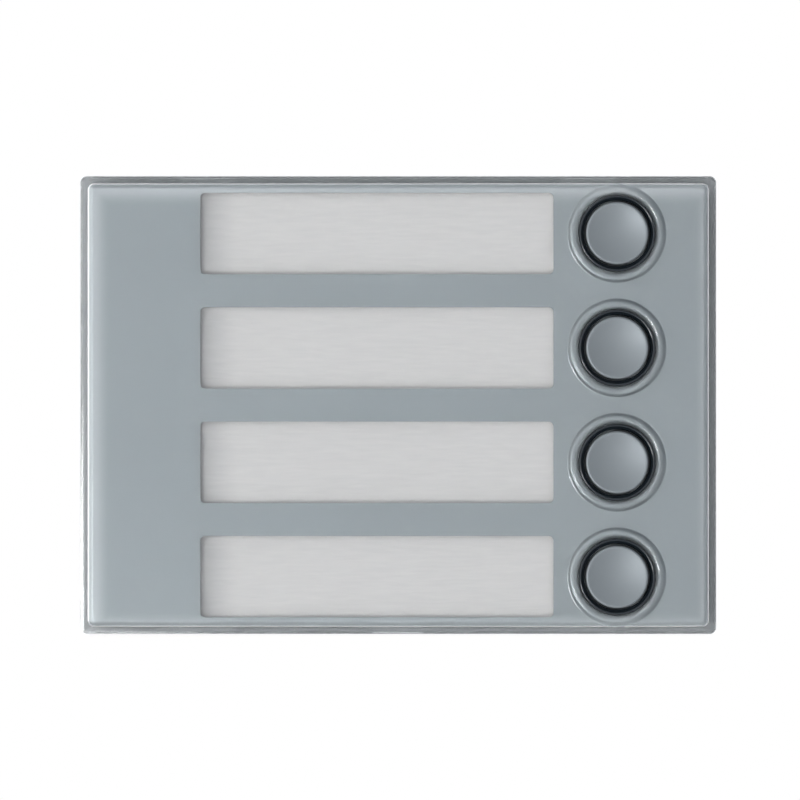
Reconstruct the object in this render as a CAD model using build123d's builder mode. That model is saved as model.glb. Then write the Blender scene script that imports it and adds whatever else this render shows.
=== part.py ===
"""Four-button call module of a modular door intercom, for one mounting frame.

X runs to the right and Z up as a visitor faces the panel, and Y runs back into the wall.
The origin is the centre of the seat plane, where the module's rim rests on its frame.
Heights are measured from the seat plane towards the visitor, so a height h lies at Y = -h,
and a negative height lies inside the wall.
"""

from build123d import *
import os

os.makedirs("parts", exist_ok=True)

# Panel face, in millimetres.
row_pitch = 18.0
row_count = 4
panel_width = 100.0
panel_height = row_count * row_pitch
corner_radius = 1.0
edge_round = 0.95
face_height = 14.0
face_thickness = 1.8
cover_foot = 1.25
skirt_thickness = 1.1
row_places = [(row_count - 1 - 2 * row) * row_pitch / 2 for row in range(row_count)]

# Snap pockets inside the cover's skirt, and the notch where a blade lifts the cover off.
snap_x = 30.0
snap_length = 9.0
snap_depth = 0.5
snap_bottom = 1.9
snap_tall = 1.2
notch_width = 8.0

# Silver foil, formed like a tray and lying against the inside of the clear cover.
layer_gap = 0.03
seat_gap = 0.05
foil_thickness = 0.3
foil_front = face_height - face_thickness - layer_gap
foil_back = foil_front - foil_thickness
foil_width = panel_width - 2 * (skirt_thickness + layer_gap)
foil_tall = panel_height - 2 * (skirt_thickness + layer_gap)
foil_fold = 0.9
foil_corner = 1.0
foil_edge = 3.4
foil_hole_radius = 6.1

# Name windows, and the card and light guide behind each of them.
window_width = 55.6
window_tall = 12.8
window_corner = 0.8
window_x = -3.35
card_width = 58.4
card_tall = 13.6
card_thickness = 0.25
slot_front = 11.0
slot_back = 10.65
slot_clearance = 0.2
guide_width = 57.2
guide_tall = 13.2
guide_front = 10.6
guide_corner = 0.8
guide_clearance = 0.2
dimple_radius = 2.4
dimple_depth = 0.8
led_pitch = 20.0
led_count = 3

# Call buttons, on one axis for each row.
button_x = 34.4
button_travel = 1.0
hole_radius = 6.1
collar_crest = 6.9
collar_foot = 7.85
collar_rise = 0.42
collar_drop = 0.3
ring_radius = 5.98
ring_bore = 5.2
ring_lip = 14.3
ring_slope = 1.0
ring_flange_radius = 6.7
ring_flange_front = foil_back - seat_gap
ring_back = 10.9
cap_radius = 4.9
cap_rim = 15.0
cap_dish = 0.55
cap_edge = 0.35
cap_flange_radius = 5.8
cap_flange_front = ring_back - seat_gap
cap_flange_back = 9.95
stem_radius = 2.1
stem_end = 9.45

# Card frame, the moulding that carries the foil, the cards, the guides and the rings.
frame_front = foil_back - seat_gap
frame_deck_back = 7.0
frame_foot = 3.25
frame_width = foil_width - 2 * (foil_thickness + seat_gap)
frame_tall = foil_tall - 2 * (foil_thickness + seat_gap)
frame_wall = 0.8
frame_corner = foil_corner - foil_thickness - seat_gap

# Circuit board and what it carries.
board_width = 80.0
board_tall = 64.0
board_thickness = 1.6
board_corner = 1.5
board_front = 4.35
board_back = board_front - board_thickness
board_screw_places = [(x, z) for x in (-34.0, 24.0) for z in (-row_pitch, row_pitch)]
switch_side = 6.0
switch_tall = 3.5
switch_bore = 1.9
plunger_radius = 1.7
plunger_top = 8.65
plunger_foot = board_front + 1.6
switch_corner = 0.4
plunger_travel = button_travel / 4
plastic_round = 0.2
boot_top = cap_flange_back - seat_gap
chip_x = 10.0
chip_legs_each_side = 10
chip_leg_pitch = 1.27

# Rear housing, which drops into the wall, and its flange on the mounting frame.
flange_gap = 0.1
flange_thickness = 2.0
rim_inset = 0.2
rim_width = panel_width - 2 * rim_inset
rim_tall = panel_height - 2 * rim_inset
rim_thickness = 1.2
upstand_top = 3.2
upstand_width = 1.8
flange_width = panel_width - 2 * (skirt_thickness + flange_gap)
flange_tall = panel_height - 2 * (skirt_thickness + flange_gap)
body_width = 78.0
body_tall = 52.0
body_corner = 3.0
body_fold = 1.0
body_back = -8.0
wall = 1.8
floor_front = body_back + wall
gasket_inset = 0.9
gasket_width = 1.5
gasket_depth = 0.8
screw_x = 43.5
case_screw_places = [(x, z) for x in (-screw_x, screw_x) for z in (-row_pitch, row_pitch)]
frame_screw_z = 28.0
insert_places = [(x, z) for x in (-screw_x, screw_x) for z in (-frame_screw_z, frame_screw_z)]
insert_length = 5.5
insert_radius = 2.1
insert_bore = 1.25

# Link sockets, one for the ribbon from the module above and one for the module below.
socket_x = -14.0
socket_z = 15.0
socket_length = 20.3
socket_width = 9.1
socket_mouth = -6.35
cavity_length = 17.5
cavity_width = 6.3
cavity_depth = 7.3
contact_count = 8
contact_pitch = 1.9
contact_size = 0.8


def seat_plane(height):
    """The plane parallel to the seat at a height, with local X as X and local Y as Z."""
    return Plane.XZ.offset(height)


def turning_plane(x, z):
    """A plane for a turned profile: local X is the radius, and local Y the height."""
    return Plane(origin=(x, 0, z), x_dir=(1, 0, 0), z_dir=(0, 0, -1))


def turning_axis(x, z):
    """The axis that a turned profile goes round, pointing at the visitor."""
    return Axis((x, 0, z), (0, -1, 0))


def save(part, name):
    """Labels a finished piece and writes it as its own STEP file."""
    part.label = name
    export_step(part, f"parts/{name}.step")


def outline(width, tall, corner, places=((0, 0),)):
    """A rounded rectangle at each place, as a sketch for any plane."""
    with BuildSketch(mode=Mode.PRIVATE) as sketch:
        with Locations(*places):
            RectangleRounded(width, tall, corner)
    return sketch.sketch


def block(width, tall, corner, fold, foot, front):
    """A solid block with a rounded front edge, which trays are made from and hollowed with."""
    with BuildPart(mode=Mode.PRIVATE) as solid:
        with BuildSketch(seat_plane(foot)):
            RectangleRounded(width, tall, corner)
        extrude(amount=front - foot)
        fillet(solid.edges().group_by(Axis.Y)[0], fold)
    return solid.part


def discs(radius, places):
    """A disc at each place, as a sketch for any plane."""
    with BuildSketch(mode=Mode.PRIVATE) as sketch:
        with Locations(*places):
            Circle(radius)
    return sketch.sketch


def profile(points):
    """A closed section through the points, which are radius and height pairs."""
    with BuildSketch(mode=Mode.PRIVATE) as section:
        with BuildLine():
            Polyline(*points, close=True)
        make_face()
    return section.sketch


def collar_section(base, bottom, hole):
    """Section of a swelling round a button hole: two arcs up to the crest, one down to the hole."""
    foot = (collar_foot, base)
    middle = ((collar_foot + collar_crest) / 2, base + collar_rise / 2)
    crest = (collar_crest, base + collar_rise)
    lip = (hole, base + collar_rise - collar_drop)
    with BuildSketch(mode=Mode.PRIVATE) as section:
        with BuildLine():
            TangentArc(foot, middle, tangent=(-1, 0))
            TangentArc(crest, middle, tangent=(1, 0))
            TangentArc(crest, lip, tangent=(-1, 0))
            Polyline(lip, (hole, bottom), (collar_foot, bottom), foot)
        make_face()
    return section.sketch


button_places = [(button_x, z) for z in row_places]
window_places = [(window_x, z) for z in row_places]

# Clear cover: a thin-walled tray with a rounded rim and a swelling round each button hole.
cover_ceiling = face_height - face_thickness
collar_root = 0.4
cover_block = block(panel_width, panel_height, corner_radius, edge_round, cover_foot, face_height)
cover_cavity = block(
    foil_width + 2 * layer_gap, foil_tall + 2 * layer_gap, foil_corner + layer_gap,
    foil_fold + layer_gap, 0, cover_ceiling,
)
with BuildPart() as front_cover:
    add(cover_block)
    add(cover_cavity, mode=Mode.SUBTRACT)
    with BuildSketch(seat_plane(face_height + collar_rise)):
        add(discs(hole_radius, button_places))
    extrude(amount=-face_thickness - collar_rise, mode=Mode.SUBTRACT)
    for z in row_places:
        with BuildSketch(turning_plane(button_x, z)):
            add(collar_section(face_height, face_height - collar_root, hole_radius))
        revolve(axis=turning_axis(button_x, z))
        with BuildSketch(turning_plane(button_x, z)):
            add(collar_section(cover_ceiling, cover_ceiling - collar_root, hole_radius))
        revolve(axis=turning_axis(button_x, z), mode=Mode.SUBTRACT)
    with BuildSketch(seat_plane(snap_bottom)):
        with Locations(*[(x, z) for x in (-snap_x, snap_x) for z in (-foil_tall / 2, foil_tall / 2)]):
            Rectangle(snap_length, 2 * snap_depth)
    extrude(amount=snap_tall, mode=Mode.SUBTRACT)
    with BuildSketch(seat_plane(cover_foot)):
        with Locations((0, -panel_height / 2)):
            Rectangle(notch_width, 2 * (skirt_thickness + flange_gap))
    extrude(amount=snap_tall, mode=Mode.SUBTRACT)
save(front_cover.part, "front_cover")

# Silver foil: one sheet formed into a tray, with the four windows and four button holes cut out.
foil_block = block(foil_width, foil_tall, foil_corner, foil_fold, foil_edge, foil_front)
foil_cavity = block(
    foil_width - 2 * foil_thickness, foil_tall - 2 * foil_thickness, foil_corner - foil_thickness,
    foil_fold - foil_thickness, foil_edge, foil_back,
)
with BuildPart() as decor_foil:
    add(foil_block)
    add(foil_cavity, mode=Mode.SUBTRACT)
    with BuildSketch(seat_plane(foil_front)):
        add(outline(window_width, window_tall, window_corner, window_places))
        add(discs(collar_foot, button_places))
    extrude(amount=-foil_thickness, mode=Mode.SUBTRACT)
    for z in row_places:
        with BuildSketch(turning_plane(button_x, z)):
            add(collar_section(foil_front, foil_back - foil_thickness, foil_hole_radius))
            add(collar_section(foil_back, foil_back - 2 * foil_thickness, foil_hole_radius),
                mode=Mode.SUBTRACT)
        revolve(axis=turning_axis(button_x, z))
save(decor_foil.part, "decor_foil")

# Name cards and opal light guides, one of each behind every window.
led_places = [(window_x + (i - (led_count - 1) / 2) * led_pitch, z)
              for z in row_places for i in range(led_count)]
card_front = (slot_front + slot_back + card_thickness) / 2
for row, z in enumerate(row_places, start=1):
    with BuildPart() as name_card:
        with BuildSketch(seat_plane(card_front)):
            add(outline(card_width, card_tall, window_corner, [(window_x, z)]))
        extrude(amount=-card_thickness)
    save(name_card.part, f"name_card_{row}")

    with BuildPart() as light_guide:
        with BuildSketch(seat_plane(frame_deck_back)):
            add(outline(guide_width, guide_tall, guide_corner, [(window_x, z)]))
        extrude(amount=guide_front - frame_deck_back)
        with BuildSketch(seat_plane(frame_deck_back)):
            add(discs(dimple_radius, [place for place in led_places if place[1] == z]))
        extrude(amount=dimple_depth, mode=Mode.SUBTRACT)
    save(light_guide.part, f"light_guide_{row}")

# Card frame: a deck with a window lip, a card slot, a guide pocket and a button bore in each row.
bore_radius = 6.1
rebate_clearance = 0.15
rebate_radius = ring_flange_radius + rebate_clearance
frame_boss_radius = 3.0
frame_boss_foot = 4.6
frame_pilot_radius = 1.1
frame_pilot_end = 10.0
slot_right = window_x + (card_width + slot_clearance) / 2
slot_left = -frame_width / 2
frame_fold = foil_fold - foil_thickness - seat_gap
frame_block = block(frame_width, frame_tall, frame_corner, frame_fold, frame_foot, frame_front)
with BuildPart() as card_frame:
    add(frame_block)
    with BuildSketch(seat_plane(frame_foot)):
        Rectangle(frame_width - 2 * frame_wall, frame_tall - 2 * frame_wall)
    extrude(amount=frame_deck_back - frame_foot, mode=Mode.SUBTRACT)
    with BuildSketch(seat_plane(frame_boss_foot)):
        add(discs(frame_boss_radius, case_screw_places))
    extrude(amount=frame_deck_back - frame_boss_foot)
    with BuildSketch(seat_plane(frame_boss_foot)):
        add(discs(frame_pilot_radius, case_screw_places))
    extrude(amount=frame_pilot_end - frame_boss_foot, mode=Mode.SUBTRACT)
    with BuildSketch(seat_plane(frame_front)):
        add(outline(window_width, window_tall, window_corner, window_places))
    extrude(amount=slot_front - frame_front, mode=Mode.SUBTRACT)
    with BuildSketch(seat_plane(slot_front)):
        with Locations(*[((slot_left + slot_right) / 2, z) for z in row_places]):
            Rectangle(slot_right - slot_left, card_tall + slot_clearance)
    extrude(amount=slot_back - slot_front, mode=Mode.SUBTRACT)
    with BuildSketch(seat_plane(frame_deck_back)):
        add(outline(guide_width + guide_clearance, guide_tall + guide_clearance, guide_corner,
                    window_places))
    extrude(amount=slot_back - frame_deck_back, mode=Mode.SUBTRACT)
    with BuildSketch(seat_plane(frame_deck_back)):
        add(discs(bore_radius, button_places))
    extrude(amount=frame_front - frame_deck_back, mode=Mode.SUBTRACT)
    with BuildSketch(seat_plane(ring_back)):
        add(discs(rebate_radius, button_places))
    extrude(amount=frame_front - ring_back, mode=Mode.SUBTRACT)
save(card_frame.part, "card_frame")

# Call buttons: a black guide ring, a dished cap, a silicone boot and a tactile switch in each row.
ring_nose = 0.25
plate_thickness = 0.3
boot_base_radius = 5.2
boot_wall_radius = 5.05
boot_inner_radius = 4.45
boot_foot = board_front + seat_gap
boot_step = boot_foot + 0.7
boot_shoulder = boot_foot + 3.5
boot_ceiling = boot_foot + 3.3
boot_neck_radius = stem_radius + 1.9
boot_rim_radius = stem_radius + 0.4
boot_pad_radius = stem_radius + 1.4
boot_pad_back = boot_top - 0.6
ring_profile = [
    (ring_bore, ring_back),
    (ring_flange_radius, ring_back),
    (ring_flange_radius, ring_flange_front),
    (ring_radius, ring_flange_front),
    (ring_radius, ring_lip - ring_nose),
    (ring_radius - ring_nose, ring_lip),
    (ring_bore, ring_lip - ring_slope),
]
boot_profile = [
    (boot_inner_radius, boot_foot),
    (boot_base_radius, boot_foot),
    (boot_base_radius, boot_step),
    (boot_wall_radius, boot_step),
    (boot_wall_radius, boot_shoulder),
    (boot_neck_radius, boot_top),
    (boot_rim_radius, boot_top),
    (boot_rim_radius, boot_pad_back),
    (boot_pad_radius, boot_pad_back),
    (boot_inner_radius, boot_ceiling),
]
for row, z in enumerate(row_places, start=1):
    with BuildPart() as button_ring:
        with BuildSketch(turning_plane(button_x, z)):
            add(profile(ring_profile))
        revolve(axis=turning_axis(button_x, z))
        fillet(button_ring.edges().group_by(Axis.Y)[0], plastic_round)
    save(button_ring.part, f"button_ring_{row}")

    with BuildPart() as button_cap:
        with BuildSketch(turning_plane(button_x, z)):
            with BuildLine():
                dish = TangentArc((0, cap_rim - cap_dish), (cap_radius - cap_edge, cap_rim), tangent=(1, 0))
                brow = TangentArc(dish @ 1, (cap_radius, cap_rim - cap_edge), tangent=(1, 0))
                Polyline(
                    brow @ 1,
                    (cap_radius, cap_flange_front),
                    (cap_flange_radius, cap_flange_front),
                    (cap_flange_radius, cap_flange_back),
                    (stem_radius, cap_flange_back),
                    (stem_radius, stem_end),
                    (0, stem_end),
                    dish @ 0,
                )
            make_face()
        revolve(axis=turning_axis(button_x, z))
    save(button_cap.part, f"button_cap_{row}")

    with BuildPart() as button_boot:
        with BuildSketch(turning_plane(button_x, z)):
            add(profile(boot_profile))
        revolve(axis=turning_axis(button_x, z))
    save(button_boot.part, f"button_boot_{row}")

    with BuildPart() as switch_base:
        with BuildSketch(seat_plane(board_front)):
            add(outline(switch_side, switch_side, switch_corner, [(button_x, z)]))
        extrude(amount=switch_tall - plate_thickness)
        with BuildSketch(seat_plane(plunger_foot - seat_gap)):
            add(discs(switch_bore, [(button_x, z)]))
        extrude(amount=switch_tall, mode=Mode.SUBTRACT)
    save(switch_base.part, f"switch_base_{row}")

    with BuildPart() as switch_plunger:
        with BuildSketch(seat_plane(plunger_foot + plunger_travel)):
            add(discs(plunger_radius, [(button_x, z)]))
        extrude(amount=plunger_top - plunger_foot - plunger_travel)
        fillet(switch_plunger.edges().group_by(Axis.Y)[0], plastic_round)
    save(switch_plunger.part, f"switch_plunger_{row}")

# Steel plates on the four switches.
with BuildPart() as switch_plates:
    with BuildSketch(seat_plane(board_front + switch_tall)):
        add(outline(switch_side, switch_side, switch_corner, button_places))
        add(discs(switch_bore, button_places), mode=Mode.SUBTRACT)
    extrude(amount=-plate_thickness)
save(switch_plates.part, "switch_plates")

# Circuit board, on four bosses of the housing.
board_hole_radius = 1.2
with BuildPart() as switch_board:
    with BuildSketch(seat_plane(board_back)):
        RectangleRounded(board_width, board_tall, board_corner)
        add(discs(board_hole_radius, board_screw_places), mode=Mode.SUBTRACT)
    extrude(amount=board_thickness)
save(switch_board.part, "switch_board")

# Backlight lamps: three surface-mounted lamps behind each light guide.
lamp_length = 3.0
lamp_width = 2.8
lamp_corner = 0.2
lamp_thickness = 0.8
with BuildPart() as backlight_lamps:
    with BuildSketch(seat_plane(board_front)):
        add(outline(lamp_length, lamp_width, lamp_corner, led_places))
    extrude(amount=lamp_thickness)
save(backlight_lamps.part, "backlight_lamps")

# Controller chip on the back of the board, and its legs.
chip_width = 12.8
chip_tall = 7.5
chip_standoff = 0.2
chip_foot = board_back - chip_standoff
chip_thickness = 2.2
chip_chamfer = 0.25
leg_root = -chip_foot + 1.0
leg_width = 0.42
leg_reach = 1.4
leg_knee = 0.9
leg_thickness = 0.2
with BuildPart() as control_chip:
    with BuildSketch(seat_plane(chip_foot)):
        with Locations((chip_x, 0)):
            Rectangle(chip_width, chip_tall)
    extrude(amount=-chip_thickness)
    chamfer(control_chip.edges().group_by(Axis.Y)[-1], chip_chamfer)
save(control_chip.part, "control_chip")

with BuildPart() as chip_legs:
    for side in (-1, 1):
        root = side * chip_tall / 2
        knee = root + side * leg_knee / 2
        toe = root + side * leg_reach
        first_leg = chip_x - (chip_legs_each_side - 1) * chip_leg_pitch / 2
        for leg in range(chip_legs_each_side):
            leg_middle = first_leg + leg * chip_leg_pitch
            with BuildSketch(Plane.YZ.offset(leg_middle - leg_width / 2)):
                with BuildLine():
                    Polyline(
                        (leg_root, root),
                        (leg_root, knee + side * leg_thickness),
                        (-board_back + leg_thickness, knee + side * leg_thickness),
                        (-board_back + leg_thickness, toe),
                        (-board_back, toe),
                        (-board_back, knee),
                        (leg_root - leg_thickness, knee),
                        (leg_root - leg_thickness, root),
                        close=True,
                    )
                make_face()
            extrude(amount=leg_width)
save(chip_legs.part, "chip_legs")

# Link sockets: shrouded, with a key slot in one wall and a row of contacts along the other.
socket_corner = 0.5
contact_root = 1.2
key_width = 4.5
key_depth = 5.0
for number, side in enumerate((1, -1), start=1):
    middle = (socket_x, side * socket_z)
    with BuildPart() as link_socket:
        with BuildSketch(seat_plane(socket_mouth)):
            add(outline(socket_length, socket_width, socket_corner, [middle]))
        extrude(amount=board_back - socket_mouth)
        with BuildSketch(seat_plane(socket_mouth)):
            with Locations(middle):
                Rectangle(cavity_length, cavity_width)
        extrude(amount=cavity_depth, mode=Mode.SUBTRACT)
        with BuildSketch(seat_plane(socket_mouth)):
            with Locations((socket_x, side * socket_z - socket_width / 2)):
                Rectangle(key_width, socket_width - cavity_width)
        extrude(amount=key_depth, mode=Mode.SUBTRACT)
    save(link_socket.part, f"link_socket_{number}")

    with BuildPart() as link_contacts:
        with BuildSketch(seat_plane(socket_mouth + cavity_depth)):
            contact_z = side * socket_z + (cavity_width - contact_size) / 2
            with Locations((socket_x, contact_z)):
                with GridLocations(contact_pitch, 0, contact_count, 1):
                    Rectangle(contact_size, contact_size)
        extrude(amount=contact_root - cavity_depth)
    save(link_contacts.part, f"link_contacts_{number}")

# Rear housing: a deep tray with a flange that rests on the mounting frame.
flange_corner = 1.2
hook_reach = 0.45
hook_tall = 0.7
hook_length = 8.4
boss_foot = flange_thickness
insert_boss_radius = 3.3
insert_boss_top = 5.8
case_boss_radius = 3.2
case_boss_top = 4.5
head_radius = 2.2
head_recess = 2.0
head_clearance = 0.2
board_boss_radius = 2.6
board_pilot_radius = 0.9
board_pilot_depth = 5.5
socket_gap = 1.0
arrow_size = 4.0
arrow_rise = 0.3
arrow_x = 14.0
gasket_corner = 1.6
gasket_inner_corner = 0.5
gasket_outer_width = flange_width - 2 * gasket_inset
gasket_outer_tall = flange_tall - 2 * gasket_inset
with BuildSketch(mode=Mode.PRIVATE) as gasket_band:
    RectangleRounded(gasket_outer_width, gasket_outer_tall, gasket_corner)
    RectangleRounded(
        gasket_outer_width - 2 * gasket_width, gasket_outer_tall - 2 * gasket_width,
        gasket_inner_corner, mode=Mode.SUBTRACT,
    )
with BuildPart() as rear_housing:
    with BuildSketch(seat_plane(body_back)):
        add(outline(body_width, body_tall, body_corner))
    extrude(amount=-body_back)
    fillet(rear_housing.edges().group_by(Axis.Y)[-1], body_fold)
    with BuildSketch(seat_plane(0)):
        add(outline(rim_width, rim_tall, corner_radius))
    extrude(amount=rim_thickness)
    with BuildSketch(seat_plane(0)):
        add(outline(flange_width, flange_tall, flange_corner))
    extrude(amount=upstand_top)
    with BuildSketch(seat_plane(flange_thickness)):
        Rectangle(flange_width - 2 * upstand_width, flange_tall - 2 * upstand_width)
    extrude(amount=upstand_top - flange_thickness, mode=Mode.SUBTRACT)
    with BuildSketch(seat_plane(floor_front)):
        add(outline(body_width - 2 * wall, body_tall - 2 * wall, body_corner - wall))
    extrude(amount=flange_thickness - floor_front, mode=Mode.SUBTRACT)
    with BuildSketch(seat_plane(snap_bottom + (snap_tall - hook_tall) / 2)):
        with Locations(*[(x, z) for x in (-snap_x, snap_x) for z in (-flange_tall / 2, flange_tall / 2)]):
            Rectangle(hook_length, 2 * hook_reach)
    extrude(amount=hook_tall)
    with BuildSketch(seat_plane(boss_foot)):
        add(discs(insert_boss_radius, insert_places))
    extrude(amount=insert_boss_top - boss_foot)
    with BuildSketch(seat_plane(boss_foot)):
        add(discs(case_boss_radius, case_screw_places))
    extrude(amount=case_boss_top - boss_foot)
    with BuildSketch(seat_plane(floor_front)):
        add(discs(board_boss_radius, board_screw_places))
    extrude(amount=board_back - floor_front)
    with BuildSketch(seat_plane(body_back)):
        with BuildLine():
            Polyline(
                (arrow_x, arrow_size),
                (arrow_x + arrow_size / 2, 0),
                (arrow_x + arrow_size / 6, 0),
                (arrow_x + arrow_size / 6, -arrow_size),
                (arrow_x - arrow_size / 6, -arrow_size),
                (arrow_x - arrow_size / 6, 0),
                (arrow_x - arrow_size / 2, 0),
                close=True,
            )
        make_face()
    extrude(amount=-arrow_rise)
    with BuildSketch(seat_plane(0)):
        add(discs(insert_radius, insert_places))
    extrude(amount=insert_length, mode=Mode.SUBTRACT)
    with BuildSketch(seat_plane(0)):
        add(discs(frame_pilot_radius + head_clearance, case_screw_places))
    extrude(amount=case_boss_top, mode=Mode.SUBTRACT)
    with BuildSketch(seat_plane(0)):
        add(discs(head_radius + head_clearance, case_screw_places))
    extrude(amount=head_recess, mode=Mode.SUBTRACT)
    with BuildSketch(seat_plane(board_back)):
        add(discs(board_pilot_radius, board_screw_places))
    extrude(amount=-board_pilot_depth, mode=Mode.SUBTRACT)
    with BuildSketch(seat_plane(body_back)):
        with Locations(*[(socket_x, z) for z in (-socket_z, socket_z)]):
            Rectangle(socket_length + socket_gap, socket_width + socket_gap)
    extrude(amount=wall, mode=Mode.SUBTRACT)
    with BuildSketch(seat_plane(0)):
        add(gasket_band.sketch)
    extrude(amount=gasket_depth, mode=Mode.SUBTRACT)
save(rear_housing.part, "rear_housing")

# Foam gasket in the groove of the flange, flush with the seat plane.
with BuildPart() as rear_gasket:
    with BuildSketch(seat_plane(0)):
        add(gasket_band.sketch)
    extrude(amount=gasket_depth)
save(rear_gasket.part, "rear_gasket")

# Brass inserts for the screws of the mounting frame, with a waist between two collars.
waist_depth = 0.35
waist_from = 2.2
waist_to = 3.2
insert_profile = [
    (insert_bore, 0),
    (insert_radius, 0),
    (insert_radius, waist_from),
    (insert_radius - waist_depth, waist_from),
    (insert_radius - waist_depth, waist_to),
    (insert_radius, waist_to),
    (insert_radius, insert_length),
    (insert_bore, insert_length),
]
with BuildPart() as frame_inserts:
    for x, z in insert_places:
        with BuildSketch(turning_plane(x, z)):
            add(profile(insert_profile))
        revolve(axis=turning_axis(x, z))
save(frame_inserts.part, "frame_inserts")

# Screws: four hold the housing to the card frame, and four hold the board to the housing.
head_tall = 1.6
case_screw_tip = 9.6
board_screw_head_radius = 1.9
board_screw_head_tall = 1.2
board_screw_length = 5.0
recess_width = 0.5
with BuildPart() as case_screws:
    with BuildSketch(seat_plane(head_recess - head_tall)):
        add(discs(head_radius, case_screw_places))
    extrude(amount=head_tall)
    with BuildSketch(seat_plane(head_recess)):
        add(discs(frame_pilot_radius - layer_gap, case_screw_places))
    extrude(amount=case_screw_tip - head_recess)
    with BuildSketch(seat_plane(head_recess - head_tall)):
        with Locations(*case_screw_places):
            Rectangle(2 * frame_pilot_radius, recess_width)
            Rectangle(recess_width, 2 * frame_pilot_radius)
    extrude(amount=head_tall / 2, mode=Mode.SUBTRACT)
save(case_screws.part, "case_screws")

with BuildPart() as board_screws:
    with BuildSketch(seat_plane(board_front)):
        add(discs(board_screw_head_radius, board_screw_places))
    extrude(amount=board_screw_head_tall)
    with BuildSketch(seat_plane(board_front)):
        add(discs(board_pilot_radius - layer_gap, board_screw_places))
    extrude(amount=-board_thickness - board_screw_length)
    with BuildSketch(seat_plane(board_front + board_screw_head_tall)):
        with Locations(*board_screw_places):
            Rectangle(2 * board_pilot_radius, recess_width)
            Rectangle(recess_width, 2 * board_pilot_radius)
    extrude(amount=-board_screw_head_tall / 2, mode=Mode.SUBTRACT)
save(board_screws.part, "board_screws")
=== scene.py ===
# %% [markdown]
# # A four-button door intercom module
# The module is a shallow tray of clear plastic over a silver foil. Four name windows are cut in
# the foil, and beside each one a dished call button stands in a black ring. A grey housing behind
# it drops into the wall. This lesson starts from the engineering model, rebuilds the pieces that
# a visitor or a fitter sees up close, and gives every surface its own finish.

# %% Load the engineering model
import math

import bpy
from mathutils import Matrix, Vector


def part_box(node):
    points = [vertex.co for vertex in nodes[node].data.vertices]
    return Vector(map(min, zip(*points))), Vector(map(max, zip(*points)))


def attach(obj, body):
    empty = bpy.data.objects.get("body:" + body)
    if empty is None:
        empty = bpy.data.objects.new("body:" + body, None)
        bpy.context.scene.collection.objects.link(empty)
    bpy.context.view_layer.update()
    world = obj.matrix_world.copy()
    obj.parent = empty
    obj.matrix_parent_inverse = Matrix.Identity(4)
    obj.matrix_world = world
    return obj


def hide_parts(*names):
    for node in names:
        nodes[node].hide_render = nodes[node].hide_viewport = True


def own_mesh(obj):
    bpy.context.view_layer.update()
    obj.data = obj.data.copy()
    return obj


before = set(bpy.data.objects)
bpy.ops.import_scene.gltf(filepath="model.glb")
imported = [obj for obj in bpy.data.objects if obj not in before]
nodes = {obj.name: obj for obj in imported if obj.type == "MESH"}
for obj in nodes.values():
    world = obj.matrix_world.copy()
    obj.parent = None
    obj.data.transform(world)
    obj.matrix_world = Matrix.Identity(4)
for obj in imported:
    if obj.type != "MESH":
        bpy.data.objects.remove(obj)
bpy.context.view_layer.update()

MM = 0.001

# %% [markdown]
# ## Sizes to build on
# A new piece has to lie exactly where the engineering model has it, so its sizes are read from the
# boxes of the loaded pieces. Only small shapes inside those boxes, such as the radius of a rounded
# edge, are values of their own.

# %% Read the boxes
rows = range(1, 5)
cover_low, cover_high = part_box("front_cover")
foil_low, foil_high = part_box("decor_foil")
cap_boxes = [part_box(f"button_cap_{row}") for row in rows]
ring_boxes = [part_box(f"button_ring_{row}") for row in rows]
card_boxes = [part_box(f"name_card_{row}") for row in rows]
button_centres = [(low + high) / 2 for low, high in ring_boxes]
button_x = button_centres[0].x
row_heights = [centre.z for centre in button_centres]
print("cover (mm):", [round(value / MM, 2) for value in cover_high - cover_low])
print("button heights (mm):", [round(height / MM, 1) for height in row_heights])

# %% [markdown]
# ## Tools for modelling
# Each piece is made as by hand: a primitive, then edit-mode steps, then applied modifiers. The
# operators work on whatever is selected, so these helpers always start from an empty selection
# and leave one active object.


# %% Selection and modifiers
weld_distance = 0.002 * MM


def only(piece):
    """Makes one object the whole selection and the active one."""
    bpy.ops.object.select_all(action="DESELECT")
    piece.select_set(True)
    bpy.context.view_layer.objects.active = piece
    return piece


def settle(piece, name):
    """Puts the object's place, turn and scale into its mesh, and names it."""
    only(piece)
    bpy.ops.object.transform_apply(location=True, rotation=True, scale=True)
    piece.name = name
    piece.data.name = name
    return piece


def apply_modifier(piece, kind, **settings):
    """Adds one modifier, sets it up and applies it at once."""
    only(piece)
    modifier = piece.modifiers.new(kind.lower(), kind)
    for key, value in settings.items():
        setattr(modifier, key, value)
    bpy.ops.object.modifier_apply(modifier=modifier.name)
    return piece


def cut(piece, cutter, operation="DIFFERENCE"):
    """Cuts, or joins, another solid into a piece, removes that solid, and welds stray slivers."""
    apply_modifier(piece, "BOOLEAN", object=cutter, operation=operation, solver="EXACT")
    bpy.data.objects.remove(cutter)
    only(piece)
    bpy.ops.object.mode_set(mode="EDIT")
    bpy.ops.mesh.select_all(action="SELECT")
    bpy.ops.mesh.remove_doubles(threshold=weld_distance)
    bpy.ops.mesh.dissolve_degenerate(threshold=weld_distance / 2)
    bpy.ops.object.mode_set(mode="OBJECT")
    return piece


def smooth(piece, degrees=35):
    """Shades soft bends smoothly and keeps creases and broad flats crisp."""
    only(piece)
    bpy.ops.object.shade_smooth_by_angle(angle=math.radians(degrees))
    return apply_modifier(piece, "WEIGHTED_NORMAL", keep_sharp=True, weight=100)


# %% [markdown]
# ## Rounded blocks
# The cover, its hollow and the window cutters are all blocks with round corners. A cube is added at
# its size, its four upright edges are bevelled, and then the rim of the front is bevelled. Two
# passes, with the smaller radius last, keep the corner patches clean.


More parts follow.
